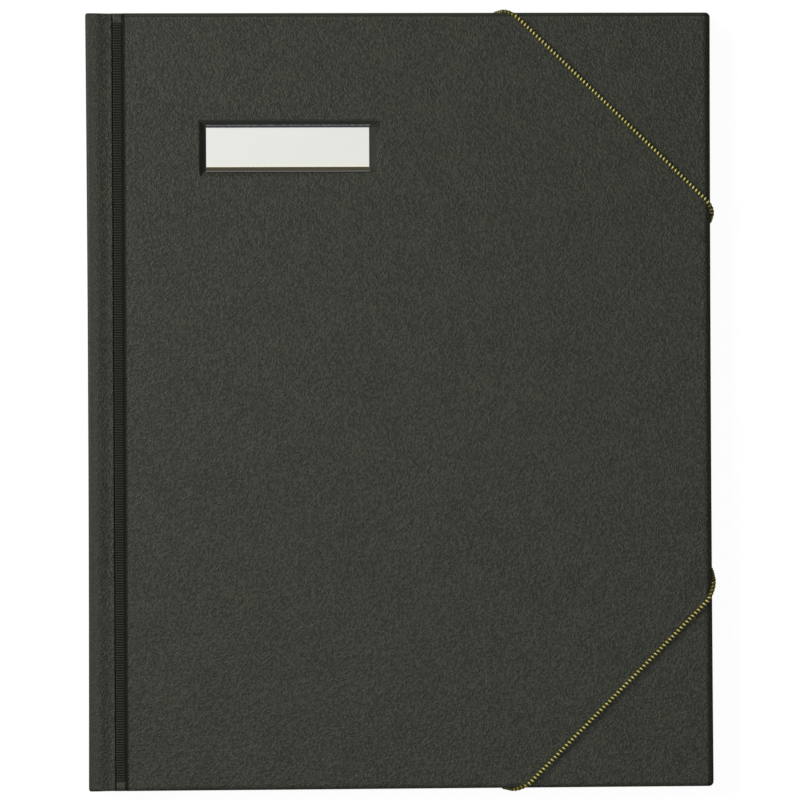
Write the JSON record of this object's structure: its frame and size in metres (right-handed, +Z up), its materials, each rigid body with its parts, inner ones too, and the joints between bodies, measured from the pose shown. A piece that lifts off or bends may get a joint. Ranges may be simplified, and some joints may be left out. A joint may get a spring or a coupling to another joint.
{
  "type": "clip folder",
  "caption": "Hard-cover folder for loose sheets, with a spring clamp spine, ribbed cover hinges, a sunk label pocket and elastic corner cords.",
  "frame": {"origin": "middle of the footprint, on the surface the closed folder lies on", "axes": "+X from the spine to the fore-edge, +Y from tail to head, +Z up out of the front cover"},
  "size_m": [0.2592, 0.3234, 0.0137],
  "materials": {
    "leatherette": "fine grained dark olive black leatherette",
    "grey_board": "matt grey board",
    "lining_paper": "matt black lining paper",
    "spring_steel": "bright rolled spring steel",
    "white_card": "smooth white card",
    "clear_film": "clear glossy film",
    "gold_elastic": "black elastic cord braided with gold yarn",
    "dark_metal": "black enamelled metal"
  },
  "bodies": {
    "spine": {"spring_clamp": "spring_steel", "spine_covering": "leatherette", "front_hinge_strip": "leatherette", "back_hinge_strip": "leatherette"},
    "front_cover": {"front_covering": "leatherette", "front_board": "grey_board", "front_lining": "lining_paper", "label_card": "white_card", "label_window": "clear_film"},
    "back_cover": {"back_covering": "leatherette", "back_board": "grey_board", "back_lining": "lining_paper", "upper_elastic": "gold_elastic", "lower_elastic": "gold_elastic", "eyelet_1": "dark_metal", "eyelet_2": "dark_metal", "eyelet_3": "dark_metal", "eyelet_4": "dark_metal", "cord_end_1": "dark_metal", "cord_end_2": "dark_metal", "cord_end_3": "dark_metal", "cord_end_4": "dark_metal"}
  },
  "joints": [
    {"name": "front_cover_hinge", "type": "hinge", "parent": "spine", "child": "front_cover", "pos_m": [-0.11665, 0, 0.01215], "axis": [0, -1, 0], "range_deg": [0, 179], "deforming": ["front_hinge_strip", "upper_elastic", "lower_elastic"]},
    {"name": "back_cover_hinge", "type": "hinge", "parent": "spine", "child": "back_cover", "pos_m": [-0.11665, 0, 0.00155], "axis": [0, 1, 0], "range_deg": [0, 179], "deforming": ["back_hinge_strip"]}
  ]
}
